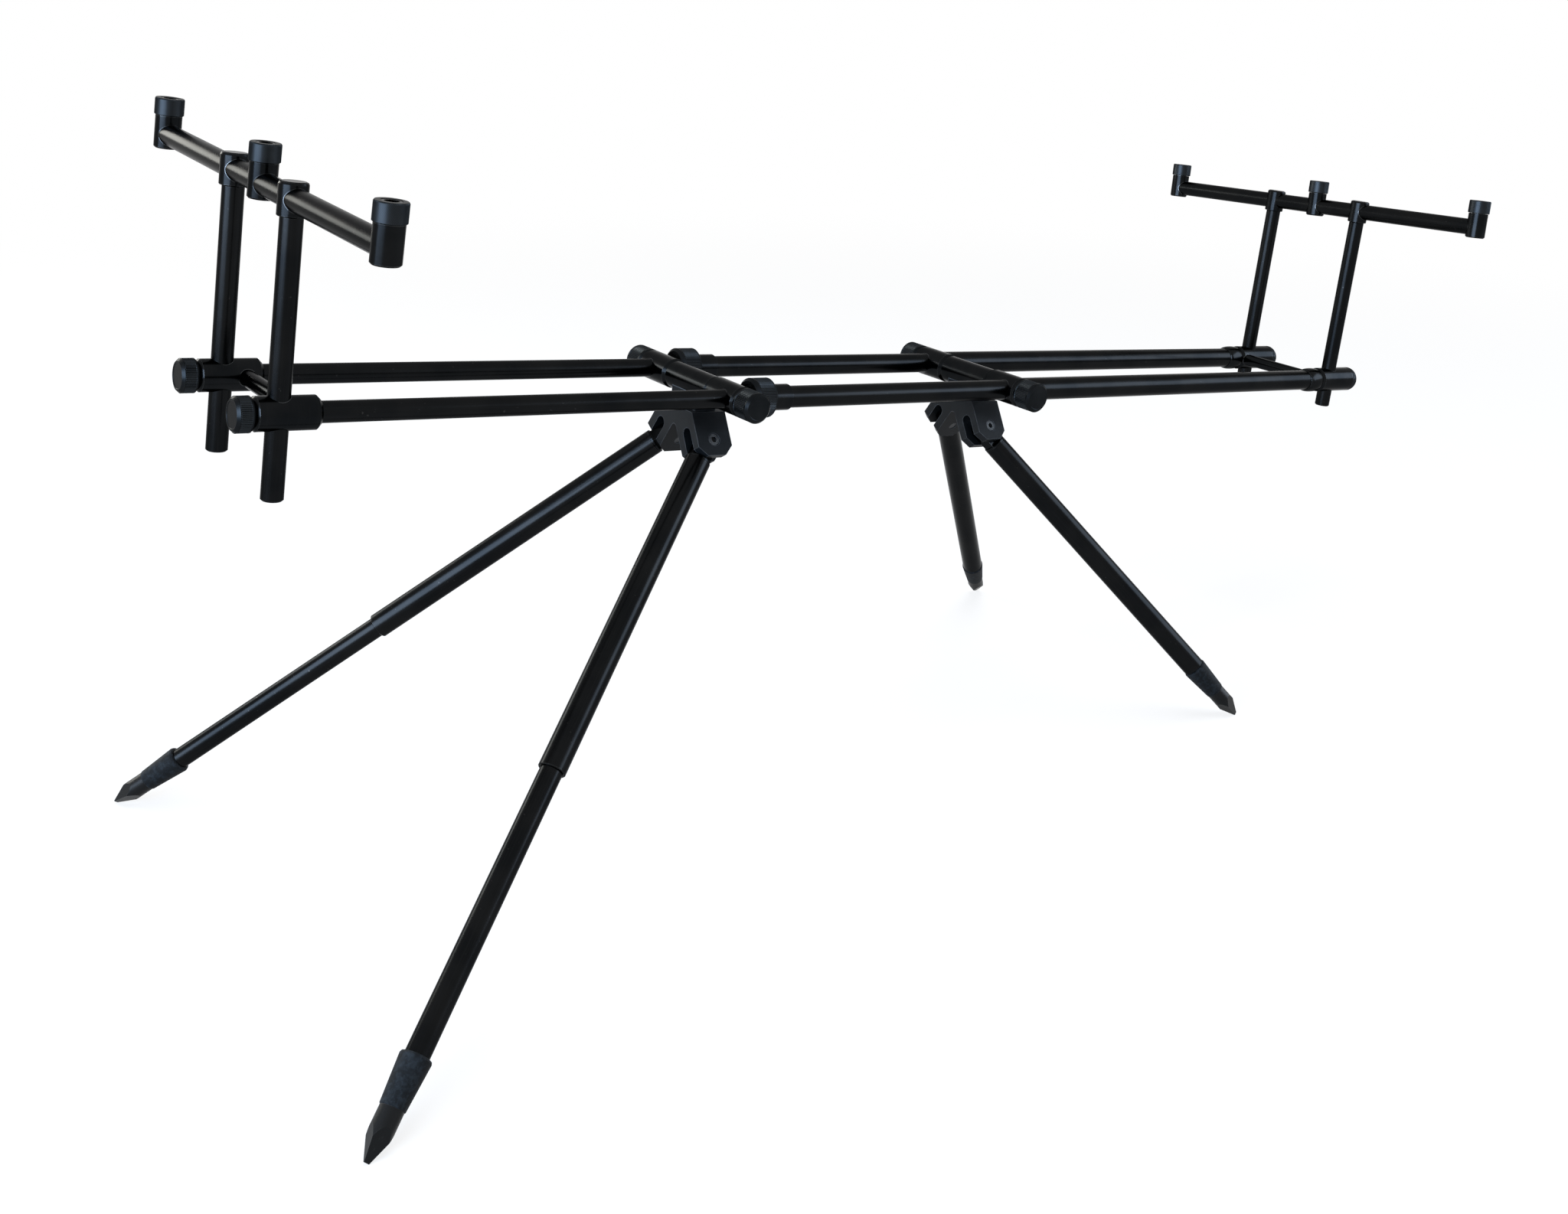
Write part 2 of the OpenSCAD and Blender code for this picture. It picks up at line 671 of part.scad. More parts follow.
// Bodies of the three rod rests, with a threaded hole down each neck
module rests(x, bar_h, tilt, rest_y) {
  neck_top = rest_rise + thumb_h - face_gap;
  color(black) on_bar(x, bar_h, tilt) for (place = [front, 0, back]) translate([0, place * rest_y, 0])
    difference() {
      turned_z([
        [0, -rest_drop], [rest_d / 2 - rest_chamfer, -rest_drop],
        [rest_d / 2, -rest_drop + rest_chamfer],
        [rest_d / 2, rest_rise], [thumb_neck_d / 2, rest_rise],
        [thumb_neck_d / 2, neck_top], [0, neck_top]
      ]);
      rod_y(bar_d + 2 * seat_fit, place == front ? -seat_fit : -rest_d,
        place == back ? seat_fit : rest_d);
      translate([0, 0, neck_top - thread_depth]) cylinder(d = thread_d, h = thread_depth + cut);
    }
}

// Thumb ring that turns on a rest's neck
module thumb(x, bar_h, tilt, y) {
  color(black) on_bar(x, bar_h, tilt) translate([0, y, rest_rise + face_gap]) difference() {
    turned_z(barrel(thumb_d / 2, 0, thumb_h - face_gap, edge, edge));
    translate([0, 0, -cut]) cylinder(d = thumb_neck_d + 2 * run_fit, h = thumb_h + 2 * cut);
  }
}

left_rail(front);  // left_rail_front
left_rail(back);  // left_rail_back
left_block(front);  // left_block_front
left_block(back);  // left_block_back
brace(brace_offset);  // left_brace
left_knob(front);  // left_knob_front
left_knob(back);  // left_knob_back
middle_rails();
rail_collets();
lock_ring(front);  // lock_ring_front
lock_ring(back);  // lock_ring_back
right_rail(front);  // right_rail_front
right_rail(back);  // right_rail_back
right_block(front);  // right_block_front
right_block(back);  // right_block_back
brace(right_post_x - brace_offset);  // right_brace
right_knob(front);  // right_knob_front
right_knob(back);  // right_knob_back
left_tees();
sleeve(left_tee_x, left_tee_d);  // left_sleeve
leg_bracket(left_tee_x, left_tee_d);  // left_leg_bracket
pivot_bolts(left_tee_x);  // left_pivot_bolts
bar_knob(left_tee_x, left_tee_d, left_rail_d, front);  // left_bar_knob_front
bar_knob(left_tee_x, left_tee_d, left_rail_d, back);  // left_bar_knob_back
right_tees();
sleeve(right_tee_x, right_tee_d);  // right_sleeve
leg_bracket(right_tee_x, right_tee_d);  // right_leg_bracket
pivot_bolts(right_tee_x);  // right_pivot_bolts
bar_knob(right_tee_x, right_tee_d, middle_rail_d, front);  // right_bar_knob_front
bar_knob(right_tee_x, right_tee_d, middle_rail_d, back);  // right_bar_knob_back
knuckle(left_tee_x, left, front);  // front_left_knuckle
leg_tube(left_tee_x, left, front, left_tube_end);  // front_left_leg_tube
inner_leg(left_tee_x, left, front, left_boot_top);  // front_left_inner_leg
foot(left_tee_x, left, front, left_boot_top);  // front_left_foot
knuckle(left_tee_x, left, back);  // back_left_knuckle
leg_tube(left_tee_x, left, back, left_tube_end);  // back_left_leg_tube
inner_leg(left_tee_x, left, back, left_boot_top);  // back_left_inner_leg
foot(left_tee_x, left, back, left_boot_top);  // back_left_foot
knuckle(right_tee_x, right, front);  // front_right_knuckle
leg_tube(right_tee_x, right, front, right_tube_end);  // front_right_leg_tube
inner_leg(right_tee_x, right, front, right_boot_top);  // front_right_inner_leg
foot(right_tee_x, right, front, right_boot_top);  // front_right_foot
knuckle(right_tee_x, right, back);  // back_right_knuckle
leg_tube(right_tee_x, right, back, right_tube_end);  // back_right_leg_tube
inner_leg(right_tee_x, right, back, right_boot_top);  // back_right_inner_leg
foot(right_tee_x, right, back, right_boot_top);  // back_right_foot
posts(0, left_bar_h, left_tilt, left_post_drop);  // left_posts
heads(0, left_bar_h, left_tilt);  // left_heads
rest_bar(0, left_bar_h, left_tilt, left_rest_y);  // left_rest_bar
rests(0, left_bar_h, left_tilt, left_rest_y);  // left_rests
thumb(0, left_bar_h, left_tilt, -left_rest_y);  // left_thumb_front
thumb(0, left_bar_h, left_tilt, 0);  // left_thumb_middle
thumb(0, left_bar_h, left_tilt, left_rest_y);  // left_thumb_back
posts(right_post_x, right_bar_h, right_tilt, right_post_drop);  // right_posts
heads(right_post_x, right_bar_h, right_tilt);  // right_heads
rest_bar(right_post_x, right_bar_h, right_tilt, right_rest_y);  // right_rest_bar
rests(right_post_x, right_bar_h, right_tilt, right_rest_y);  // right_rests
thumb(right_post_x, right_bar_h, right_tilt, -right_rest_y);  // right_thumb_front
thumb(right_post_x, right_bar_h, right_tilt, 0);  // right_thumb_middle
thumb(right_post_x, right_bar_h, right_tilt, right_rest_y);  // right_thumb_back
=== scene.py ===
import json
import math

import bpy
from mathutils import Matrix, Vector


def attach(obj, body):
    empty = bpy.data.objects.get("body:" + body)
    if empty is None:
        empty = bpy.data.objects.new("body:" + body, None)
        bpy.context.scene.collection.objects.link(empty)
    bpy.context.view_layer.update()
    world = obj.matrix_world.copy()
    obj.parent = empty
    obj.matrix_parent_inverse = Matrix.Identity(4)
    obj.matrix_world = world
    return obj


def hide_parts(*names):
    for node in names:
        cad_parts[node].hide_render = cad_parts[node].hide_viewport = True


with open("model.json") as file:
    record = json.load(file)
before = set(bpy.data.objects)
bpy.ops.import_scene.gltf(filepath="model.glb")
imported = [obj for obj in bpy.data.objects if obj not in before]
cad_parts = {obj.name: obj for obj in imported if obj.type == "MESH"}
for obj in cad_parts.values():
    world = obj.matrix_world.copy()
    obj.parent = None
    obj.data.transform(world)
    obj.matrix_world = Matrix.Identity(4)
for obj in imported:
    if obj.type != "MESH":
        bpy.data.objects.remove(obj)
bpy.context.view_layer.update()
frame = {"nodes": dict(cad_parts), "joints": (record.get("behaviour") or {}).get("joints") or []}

MM = 0.001
SIDES = ("front", "back")
ENDS = ("left", "right")
JOINTS = {joint["name"]: joint for joint in frame["joints"]}
NODES = frame["nodes"]

# The rail frame: X along the rails from the left posts, Y to the back, Z up from the rail axes
RING_X, RAIL_Y = 398.0, 57.5
RAIL_X = Vector(JOINTS["middle_rail_slide"]["axis"]).normalized()
ACROSS = Vector((0, 1, 0))
RAIL_Z = Vector(JOINTS["left_post_slide"]["axis"]).normalized()
RAIL_0 = Vector(JOINTS["lock_ring_front_turn"]["pos_m"]) - RAIL_X * RING_X * MM + ACROSS * RAIL_Y * MM


def rail_direction(x, y, z):
    """A direction of the rail frame as one of the part's frame."""
    return RAIL_X * x + ACROSS * y + RAIL_Z * z


def rail_point(x, y, z):
    """A point of the rail frame, in millimetres, as a place in the part's frame."""
    return RAIL_0 + rail_direction(x, y, z) * MM


# Shaders: sockets as values, and the nodes they belong to


class Value:
    """A socket of a shader that takes part in arithmetic."""

    def __init__(self, shader, socket):
        self.shader = shader
        self.socket = socket

    def math(self, operation, first, second):
        return self.shader.node("ShaderNodeMath", {"operation": operation}, {0: first, 1: second})

    def __add__(self, other):
        return self.math("ADD", self, other)

    def __sub__(self, other):
        return self.math("SUBTRACT", self, other)

    def __rsub__(self, other):
        return self.math("SUBTRACT", other, self)

    def __mul__(self, other):
        return self.math("MULTIPLY", self, other)

    __radd__ = __add__
    __rmul__ = __mul__

    def or_more(self, other):
        """The larger of two values."""
        return self.math("MAXIMUM", self, other)

    def band(self, low, high):
        """0 below low and 1 above high, with a smooth rise between them."""
        return self.shader.node("ShaderNodeMapRange", {"interpolation_type": "SMOOTHSTEP"},
                                {"Value": self, "From Min": low, "From Max": high})


class Shader:
    """The nodes of a material or of the world."""

    def __init__(self, owner):
        owner.use_nodes = True
        self.tree = owner.node_tree
        self.tree.nodes.clear()

    def node(self, kind, settings=None, sockets=None, output=0):
        """Adds a node, sets it up, links or fills its sockets, and gives one of its outputs if it has any."""
        made = self.tree.nodes.new(kind)
        for name, setting in (settings or {}).items():
            setattr(made, name, setting)
        for name, item in (sockets or {}).items():
            if isinstance(item, Value):
                self.tree.links.new(item.socket, made.inputs[name])
            else:
                made.inputs[name].default_value = item
        return Value(self, made.outputs[output]) if made.outputs else None

    def seen(self):
        """1 for what is seen, straight or in gloss or through glass, and 0 for the light it throws back."""
        straight = self.node("ShaderNodeLightPath", output="Is Camera Ray")
        in_gloss = self.node("ShaderNodeLightPath", output="Is Glossy Ray")
        through = self.node("ShaderNodeLightPath", output="Is Transmission Ray")
        return straight.or_more(in_gloss.or_more(through))


# Sockets of a Mix node that mixes colours
MIX_SHARE, MIX_FIRST, MIX_SECOND, MIX_RESULT = 0, 6, 7, 2
# How far a corner turns, as 1 less the cosine, where it starts to be painted paler and where it is fully
# paler: wear, and on the anodised, turned, knurled and bracket finishes a painted highlight too
CORNER_STARTS, CORNER_FULL = 0.02, 0.16


class Finish(Shader):
    """A material being made."""

    def __init__(self, name):
        self.material = bpy.data.materials.new(name)
        super().__init__(self.material)

    def place(self, along=None):
        """Object coordinates, turned so that their Z runs along a direction of the piece."""
        here = self.node("ShaderNodeTexCoord", output="Object")
        if along is None:
            return here
        turn = along.rotation_difference(Vector((0, 0, 1))).to_euler()
        return self.node("ShaderNodeMapping", {}, {"Vector": here, "Rotation": turn})

    def stretch(self, where, x, y, z):
        return self.node("ShaderNodeVectorMath", {"operation": "MULTIPLY"}, {0: where, 1: (x, y, z)})

    def noise(self, where, scale=1.0, detail=3.0, roughness=0.55):
        return self.node("ShaderNodeTexNoise", {}, {"Vector": where, "Scale": scale, "Detail": detail,
                                                    "Roughness": roughness})

    def mix(self, share, first, second):
        """Colour that goes from first to second as share goes from 0 to 1."""
        return self.node("ShaderNodeMix", {"data_type": "RGBA"},
                         {MIX_SHARE: share, MIX_FIRST: first, MIX_SECOND: second}, output=MIX_RESULT)

    def edges(self, reach):
        """1 on the corners of a piece, 0 on its faces, from a reach in millimetres."""
        rounded = self.node("ShaderNodeBevel", {"samples": 6}, {"Radius": reach * MM})
        flat = self.node("ShaderNodeNewGeometry", output="Normal")
        same = self.node("ShaderNodeVectorMath", {"operation": "DOT_PRODUCT"}, {0: rounded, 1: flat},
                         output="Value")
        return (1.0 - same).band(CORNER_STARTS, CORNER_FULL)

    def show(self, surface):
        self.node("ShaderNodeOutputMaterial", {}, {"Surface": surface})
        return self.material

    def done(self, colour, roughness, height, depth, constants):
        """Surface from a colour, a roughness and a relief as deep as the given millimetres."""
        bump = self.node("ShaderNodeBump", {}, {"Height": height, "Distance": depth * MM, "Strength": 1.0})
        sockets = {"Base Color": colour, "Roughness": roughness, "Normal": bump, **constants}
        return self.show(self.node("ShaderNodeBsdfPrincipled", {}, sockets))


def grey(level, warm=0.0):
    """A neutral colour, a little warm or, below 0, a little blue."""
    return (level * (1 + warm), level, level * (1 - warm), 1.0)


# Dyed aluminium reflects little, and not much more where it turns away
DARK_METAL = {"Metallic": 1.0, "Specular Tint": grey(0.55)}


def anodised(name, along):
    """Satin black anodised tube: drawing lines along it, cloudy sheen, a few dust specks, corners painted
    paler as wear and as a painted highlight.
    """
    made = Finish(name)
    where = made.place(along)
    lines = made.noise(made.stretch(where, 900, 900, 12), detail=2.0)
    cloud = made.noise(where, scale=22.0, detail=4.0)
    grain = made.noise(where, scale=1400.0, detail=2.0)
    specks = made.noise(where, scale=420.0, detail=1.0).band(0.74, 0.80)
    # Corners painted paler: partly wear, partly a painted highlight along the edges
    pale_corners = made.edges(reach=0.7) * cloud.band(0.30, 0.62)
    black = made.mix(cloud.band(0.30, 0.70), grey(0.0070, warm=-0.10), grey(0.0102, warm=-0.04))
    black = made.mix(lines.band(0.45, 0.75) * 0.4, black, grey(0.0125, warm=-0.05))
    black = made.mix(specks * 0.35, black, grey(0.06))
    black = made.mix(pale_corners * 0.6, black, grey(0.10))
    rough = 0.19 + 0.06 * cloud + 0.05 * lines - 0.04 * pale_corners
    height = lines * 0.35 + grain * 0.65
    return made.done(black, rough, height, depth=0.0015, constants=DARK_METAL)


def turned_black(name, along):
    """Black anodised fitting off a lathe: faint tool rings across its axis, corners painted paler as wear and
    as a painted highlight.
    """
    made = Finish(name)
    where = made.place(along)
    rings = made.noise(made.stretch(where, 6, 6, 1600), detail=1.0)
    cloud = made.noise(where, scale=35.0, detail=4.0)
    grain = made.noise(where, scale=1800.0, detail=2.0)
    # Corners painted paler: partly wear, partly a painted highlight along the edges
    pale_corners = made.edges(reach=0.6) * cloud.band(0.25, 0.60)
    black = made.mix(cloud.band(0.30, 0.70), grey(0.0075, warm=-0.12), grey(0.0110, warm=-0.06))
    black = made.mix(rings.band(0.55, 0.80) * 0.4, black, grey(0.0125, warm=-0.06))
    black = made.mix(pale_corners * 0.7, black, grey(0.13, warm=-0.05))
    rough = 0.15 + 0.06 * cloud + 0.04 * rings - 0.03 * pale_corners
    height = rings * 0.55 + grain * 0.45
    return made.done(black, rough, height, depth=0.0012, constants=DARK_METAL)


def knurled_black():
    """Black anodised grip whose crests are painted paler than its grooves: rubbed wear, and a painted sheen
    where the knurl catches light.
    """
    made = Finish("knurled_black")
    where = made.place()
    crest = made.node("ShaderNodeAttribute", {"attribute_name": "crest"}, output="Fac")
    cloud = made.noise(where, scale=60.0, detail=4.0)
    grain = made.noise(where, scale=2200.0, detail=2.0)
    # Corners painted paler: partly wear, partly a painted highlight along the edges
    pale_corners = made.edges(reach=0.4) * cloud.band(0.30, 0.60)
    black = made.mix(cloud.band(0.30, 0.70), grey(0.0085, warm=-0.14), grey(0.0125, warm=-0.10))
    # Crests painted paler: a painted sheen where the knurl catches light, and rubbed wear
    black = made.mix(crest * (0.45 + 0.4 * cloud), black, grey(0.040, warm=-0.14))
    black = made.mix(pale_corners * 0.20, black, grey(0.09, warm=-0.10))
    rough = 0.29 + 0.08 * cloud + 0.06 * crest
    return made.done(black, rough, grain, depth=0.004, constants=DARK_METAL)


def bracket_black():
    """Matt black milled bracket: blasted grain, cutter lines, corners painted paler as wear and as a painted
    highlight, and rub marks.
    """
    made = Finish("bracket_black")
    where = made.place()
    blast = made.noise(where, scale=1300.0, detail=3.0)
    cloud = made.noise(where, scale=45.0, detail=5.0)
    cutter = made.noise(made.stretch(where, 20, 20, 900), detail=1.0)
    # Corners painted paler: partly wear, partly a painted highlight along the edges
    pale_corners = made.edges(reach=0.9) * cloud.band(0.30, 0.58)
    rub = cloud.band(0.60, 0.74)
    black = made.mix(cloud.band(0.25, 0.75), grey(0.0042, warm=-0.20), grey(0.0070, warm=-0.16))
    black = made.mix(rub * 0.35, black, grey(0.022, warm=-0.10))
    black = made.mix(pale_corners * 0.75, black, grey(0.13, warm=-0.05))
    rough = 0.44 + 0.12 * cloud - 0.08 * pale_corners
    height = blast * 0.7 + cutter * 0.3
    return made.done(black, rough, height, depth=0.020, constants={"Specular IOR Level": 0.08})


def bolt_steel():
    """Blackened steel bolt, rubbed paler on its rim and round its socket."""
    made = Finish("bolt_steel")
    where = made.place()
    cloud = made.noise(where, scale=160.0, detail=4.0)
    grain = made.noise(where, scale=2600.0, detail=2.0)
    pale_corners = made.edges(reach=0.7) * cloud.band(0.25, 0.55)
    steel = made.mix(cloud.band(0.35, 0.70), grey(0.018, warm=-0.08), grey(0.038, warm=-0.04))
    steel = made.mix(pale_corners * 0.8, steel, grey(0.20))
    rough = 0.36 + 0.14 * cloud - 0.10 * pale_corners
    return made.done(steel, rough, grain, depth=0.010, constants={"Metallic": 0.7})


# The spike's length from its tip to the boot's edge, and half the width of the change there
SPIKE_LEN, SEAM_HALF = 35.0, 0.2


def foot_black(name, along, tip):
    """Foot of a leg, from the place of its tip along the leg: mottled rubbery boot, smooth hard spike."""
    made = Finish(name)
    where = made.place(along)
    seam = tip - SPIKE_LEN * MM
    down = made.node("ShaderNodeSeparateXYZ", {}, {0: where}, output="Z")
    spike = down.band(seam - SEAM_HALF * MM, seam + SEAM_HALF * MM)
    boot = 1.0 - spike
    mottle = made.noise(where, scale=260.0, detail=5.0, roughness=0.65)
    blotch = made.noise(where, scale=70.0, detail=3.0)
    grain = made.noise(where, scale=900.0, detail=3.0)
    scuff = made.noise(made.stretch(where, 700, 700, 40), detail=2.0).band(0.62, 0.78) * spike
    pale_corners = made.edges(reach=0.8) * spike
    rubber = made.mix(mottle.band(0.42, 0.66), grey(0.0045, warm=-0.20), grey(0.0150, warm=-0.20))
    rubber = made.mix(blotch.band(0.52, 0.72) * 0.4, rubber, grey(0.022, warm=-0.16))
    colour = made.mix(spike, rubber, grey(0.0060, warm=0.02))
    colour = made.mix(scuff * 0.4, colour, grey(0.030, warm=0.10))
    colour = made.mix(pale_corners * 0.5, colour, grey(0.070, warm=0.06))
    rough = 0.30 + 0.32 * boot + 0.10 * blotch + 0.08 * scuff
    height = boot * (mottle * 0.7 + grain * 0.3) + spike * grain * 0.15
    return made.done(colour, rough, height, depth=0.09, constants={"Specular IOR Level": 0.10})


# Materials on the CAD nodes


def paint(node, material):
    shown = NODES[node]
    shown.data.materials.clear()
    shown.data.materials.append(material)


tube_along_rails = anodised("anodised_rail", RAIL_X)
tube_upright = anodised("anodised_post", RAIL_Z)
tube_across = anodised("anodised_bar", ACROSS)
fitting_along_rails = turned_black("turned_along_rails", RAIL_X)
fitting_across = turned_black("turned_across", ACROSS)
fitting_upright = turned_black("turned_upright", RAIL_Z)
grip_finish = knurled_black()
bracket = bracket_black()
bolt = bolt_steel()

for side in SIDES:
    for end in ENDS:
        paint(f"{end}_rail_{side}", tube_along_rails)
        paint(f"{end}_block_{side}", fitting_along_rails)
        leg = f"{side}_{end}"
        along = Vector(JOINTS[f"{leg}_lower_leg_slide"]["axis"]).normalized()
        tip = max(point.co.dot(along) for point in NODES[f"{leg}_foot"].data.vertices)
        tube = anodised(f"anodised_leg_{leg}", along)
        paint(f"{leg}_leg_tube", tube)
        paint(f"{leg}_inner_leg", tube)
        paint(f"{leg}_knuckle", turned_black(f"turned_knuckle_{leg}", along))
        paint(f"{leg}_foot", foot_black(f"foot_{leg}", along, tip))
paint("middle_rails", tube_along_rails)
paint("rail_collets", fitting_along_rails)
for end in ENDS:
    paint(f"{end}_brace", fitting_across)
    paint(f"{end}_tees", fitting_across)
    paint(f"{end}_sleeve", fitting_across)
    paint(f"{end}_leg_bracket", bracket)
    paint(f"{end}_pivot_bolts", bolt)
    paint(f"{end}_posts", tube_upright)
    paint(f"{end}_heads", fitting_upright)
    paint(f"{end}_rest_bar", tube_across)
    paint(f"{end}_rests", fitting_upright)


# Turned and knurled grips, in millimetres, each made along Z and then set down on its joint

# How close a point lies to a row of the knurl to be one of its points
NEAR = 0.01


def rows(low, high, count):
    return [low + (high - low) * k / count for k in range(count + 1)]


def turn(name, outline, sides):
    """Draws a circle up through an outline of [radius, height] and closes its ends."""
    bpy.ops.object.select_all(action="DESELECT")
    radius, height = outline[0]
    bpy.ops.mesh.primitive_circle_add(vertices=sides, radius=radius * MM, location=(0, 0, 0))
    piece = bpy.context.object
    piece.name = name
    piece.data.name = name
    bpy.ops.object.mode_set(mode="EDIT")
    bpy.ops.mesh.select_mode(type="VERT")
    bpy.ops.mesh.select_all(action="SELECT")
    bpy.ops.transform.translate(value=(0, 0, height * MM))
    for (r0, z0), (r1, z1) in zip(outline, outline[1:]):
        bpy.ops.mesh.extrude_edges_move(TRANSFORM_OT_translate={"value": (0, 0, (z1 - z0) * MM)})
        if r1 != r0:
            bpy.ops.transform.resize(value=(r1 / r0, r1 / r0, 1), center_override=(0, 0, z1 * MM))
    bpy.ops.mesh.select_all(action="SELECT")
    bpy.ops.mesh.remove_doubles(threshold=1e-6)
    bpy.ops.mesh.select_all(action="DESELECT")
    bpy.ops.mesh.select_non_manifold()
    bpy.ops.mesh.fill_holes(sides=0)
    bpy.ops.mesh.select_all(action="SELECT")
    bpy.ops.mesh.normals_make_consistent(inside=False)
    bpy.ops.object.mode_set(mode="OBJECT")
    return piece


def knurl(piece, radius, heights, sides, depth, crossed):
    """Presses every other point of the grip inwards: in lines, or checkered where crossed."""
    mesh = piece.data
    bpy.ops.object.mode_set(mode="EDIT")
    bpy.ops.mesh.select_mode(type="VERT")
    bpy.ops.mesh.select_all(action="DESELECT")
    bpy.ops.object.mode_set(mode="OBJECT")
    raised = []
    for vertex in mesh.vertices:
        x, y, z = vertex.co / MM
        row = next((k for k, h in enumerate(heights) if abs(h - z) < NEAR), None)
        if row is None or abs(math.hypot(x, y) - radius) > NEAR:
            continue
        column = round(math.atan2(y, x) / (2 * math.pi / sides))
        if (column + (row if crossed else 0)) % 2:
            vertex.select = True
        else:
            raised.append(vertex.index)
    bpy.ops.object.mode_set(mode="EDIT")
    share = 1 - depth / radius
    bpy.ops.transform.resize(value=(share, share, 1), center_override=(0, 0, 0))
    bpy.ops.object.mode_set(mode="OBJECT")
    # The raised points, which the knurled finish paints paler as a painted sheen and rubbed wear
    crest = mesh.attributes.new("crest", "FLOAT", "POINT")
    for index in raised:
        crest.data[index].value = 1.0


def copy_of(piece, name):
    twin = piece.copy()
    twin.data = piece.data.copy()
    twin.name = name
    twin.data.name = name
    bpy.context.scene.collection.objects.link(twin)
    return twin


def set_down(piece, place, along, smooth):
    """Turns a piece from Z to its axis, moves it to its place and applies both to its mesh."""
    bpy.ops.object.select_all(action="DESELECT")
    piece.select_set(True)
    bpy.context.view_layer.objects.active = piece
    piece.rotation_mode = "QUATERNION"
    piece.rotation_quaternion = Vector((0, 0, 1)).rotation_difference(along)
    piece.location = place
    bpy.ops.object.transform_apply(location=True, rotation=True, scale=True)
    bpy.ops.object.shade_smooth_by_angle(angle=math.radians(smooth))


# Room between a grip and the face it turns on
GRIP_GAP = 0.3


def fit_grips(first, spots, gap=GRIP_GAP, smooth=20):
    """Copies a grip for its other spots, sets each down on its joint and puts it in place of its node."""
    pieces = [first] + [copy_of(first, f"{name}_grip") for name, along in spots[1:]]
    for piece, (name, along) in zip(pieces, spots):
        set_down(piece, Vector(JOINTS[f"{name}_turn"]["pos_m"]) + along * gap * MM, along, smooth)
        piece.data.materials.clear()
        piece.data.materials.append(grip_finish)
        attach(piece, name)
        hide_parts(name)


# Thumb rings on the rod rests: a checkered band all the way down
THUMB_R, THUMB_H, THUMB_BORE_R = 11.0, 13.4, 6.56
THUMB_SIDES, THUMB_ROWS, THUMB_CUT = 132, 23, 0.34
THUMB_EDGE, THUMB_LIP = 0.6, 0.5
THUMB_BAND = (0.5, THUMB_H - 0.9)
thumb_rows = rows(*THUMB_BAND, THUMB_ROWS)
thumb_outline = [[THUMB_BORE_R, 0], [THUMB_R - THUMB_EDGE, 0]]
thumb_outline += [[THUMB_R, z] for z in thumb_rows]
thumb_outline += [[THUMB_R - THUMB_EDGE, THUMB_H], [THUMB_BORE_R + THUMB_LIP, THUMB_H]]
thumb_outline += [[THUMB_BORE_R, THUMB_H - THUMB_LIP], [THUMB_BORE_R, 0]]
thumb = turn("left_thumb_front_grip", thumb_outline, THUMB_SIDES)
knurl(thumb, THUMB_R, thumb_rows, THUMB_SIDES, THUMB_CUT, crossed=True)
thumb_names = [f"{end}_thumb_{spot}" for end in ENDS for spot in ("front", "middle", "back")]
fit_grips(thumb, [(name, Vector(JOINTS[f"{name}_turn"]["axis"]).normalized()) for name in thumb_names])

# Ribs lie a little below the plain lands beside them
RIB_SINK = 0.05

# Lock rings of the telescopic rails: a ribbed band behind a bevelled, dished face
RING_R, RING_LEN, RING_BORE_R = 17.0, 20.5, 8.6
RING_SIDES, RING_CUT = 144, 0.50
RING_DISH, RING_DISH_FLAT, RING_DISH_RIM = 0.9, 2.4, 3.0
RING_BEVEL, RING_EDGE = 2.5, 1.0
RING_LAND_FRONT, RING_LAND_BACK = 3.6, 1.2
RING_THREAD_R, RING_THREAD_LEN = 10.4, 13.7
RING_BAND = (4.2, RING_LEN - 1.8)
ring_rows = rows(*RING_BAND, 1)
ring_outline = [[RING_BORE_R, RING_DISH], [RING_BORE_R + RING_DISH_FLAT, RING_DISH]]
ring_outline += [[RING_BORE_R + RING_DISH_RIM, 0], [RING_R - RING_BEVEL, 0]]
ring_outline += [[RING_R, RING_BEVEL], [RING_R, RING_LAND_FRONT]]
ring_outline += [[RING_R - RIB_SINK, z] for z in ring_rows]
ring_outline += [[RING_R, RING_LEN - RING_LAND_BACK], [RING_R, RING_LEN - RING_EDGE]]
ring_outline += [[RING_R - RING_EDGE, RING_LEN], [RING_THREAD_R, RING_LEN]]
ring_outline += [[RING_THREAD_R, RING_LEN - RING_THREAD_LEN], [RING_BORE_R, RING_LEN - RING_THREAD_LEN]]
ring_outline += [[RING_BORE_R, RING_DISH]]
ring = turn("lock_ring_front_grip", ring_outline, RING_SIDES)
knurl(ring, RING_R - RIB_SINK, ring_rows, RING_SIDES, RING_CUT, crossed=False)
fit_grips(ring, [(f"lock_ring_{side}", RAIL_X) for side in SIDES], gap=0)

# Knobs on plain screws
SCREW_R = 4.0
CENTRE_R = 1.0
KNOB_SIDES, KNOB_CUT = 116, 0.45
KNOB_CHAMFER, KNOB_GROOVE, KNOB_LAND = 2.0, 1.8, 0.5
KNOB_RIM, KNOB_DISH_SLOPE, KNOB_DISH = 1.2, 0.4, 0.25


